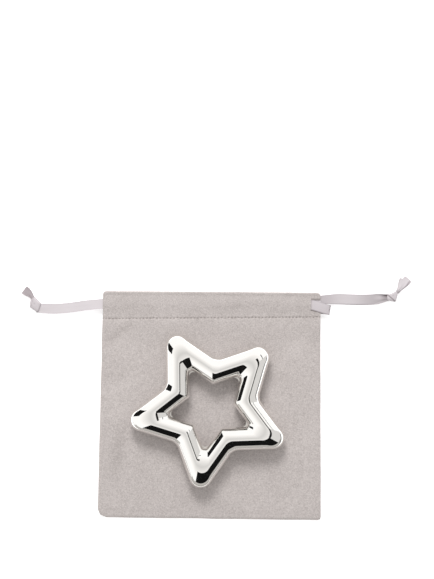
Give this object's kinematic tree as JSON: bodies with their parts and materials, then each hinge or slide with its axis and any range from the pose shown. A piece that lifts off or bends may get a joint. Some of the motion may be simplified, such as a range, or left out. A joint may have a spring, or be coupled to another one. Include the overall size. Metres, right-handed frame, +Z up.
{
  "type": "drawstring gift pouch with star rattle",
  "caption": "Flat suede-cloth gift pouch closed by two satin ribbon drawstrings, with a hollow polished metal star rattle lying on it.",
  "frame": {"origin": "on the table, under the middle of the sewn pouch", "axes": "+Z up from the table, +Y towards the mouth of the pouch, +X to its right-hand side"},
  "size_m": [0.2043, 0.1271, 0.0146],
  "materials": {
    "suede": "matte",
    "ribbon": "satin",
    "thread": "matte",
    "silver": "polished",
    "steel": "satin"
  },
  "bodies": {
    "pouch": {"front_panel": "suede", "back_panel": "suede", "front_casing_stitches": "thread", "back_casing_stitches": "thread", "left_seam_stitches": "thread", "right_seam_stitches": "thread", "bottom_seam_stitches": "thread"},
    "left_ribbon": {"left_ribbon_run": "ribbon", "left_ribbon_upper_end": "ribbon", "left_ribbon_lower_end": "ribbon", "left_knot": "ribbon", "left_upper_tail": "ribbon", "left_lower_tail": "ribbon"},
    "right_ribbon": {"right_ribbon_run": "ribbon", "right_ribbon_upper_end": "ribbon", "right_ribbon_lower_end": "ribbon", "right_knot": "ribbon", "right_upper_tail": "ribbon", "right_lower_tail": "ribbon"},
    "star": {"star_upper_shell": "silver", "star_lower_shell": "silver", "star_outer_solder": "silver", "star_hole_solder": "silver"},
    "bead_1": {"star_bead_1": "steel"},
    "bead_2": {"star_bead_2": "steel"},
    "bead_3": {"star_bead_3": "steel"}
  },
  "joints": [
    {"name": "left_ribbon_pull", "type": "slide", "parent": "pouch", "child": "left_ribbon", "axis": [-1, 0, 0], "range_m": [0, 0.0072]},
    {"name": "right_ribbon_pull", "type": "slide", "parent": "pouch", "child": "right_ribbon", "axis": [1, 0, 0], "range_m": [0, 0.003]},
    {"name": "star_lift", "type": "slide", "parent": "pouch", "child": "star", "axis": [0, 0, 1], "range_m": [0, 0.08]},
    {"name": "bead_1_roll", "type": "slide", "parent": "star", "child": "bead_1", "axis": [-0.9483, -0.3173, 0], "range_m": [0, 0.013]},
    {"name": "bead_2_roll", "type": "slide", "parent": "star", "child": "bead_2", "axis": [0.9537, -0.3007, 0], "range_m": [0, 0.013]},
    {"name": "bead_3_roll", "type": "slide", "parent": "star", "child": "bead_3", "axis": [0.5807, 0.8141, 0], "range_m": [0, 0.013]}
  ]
}
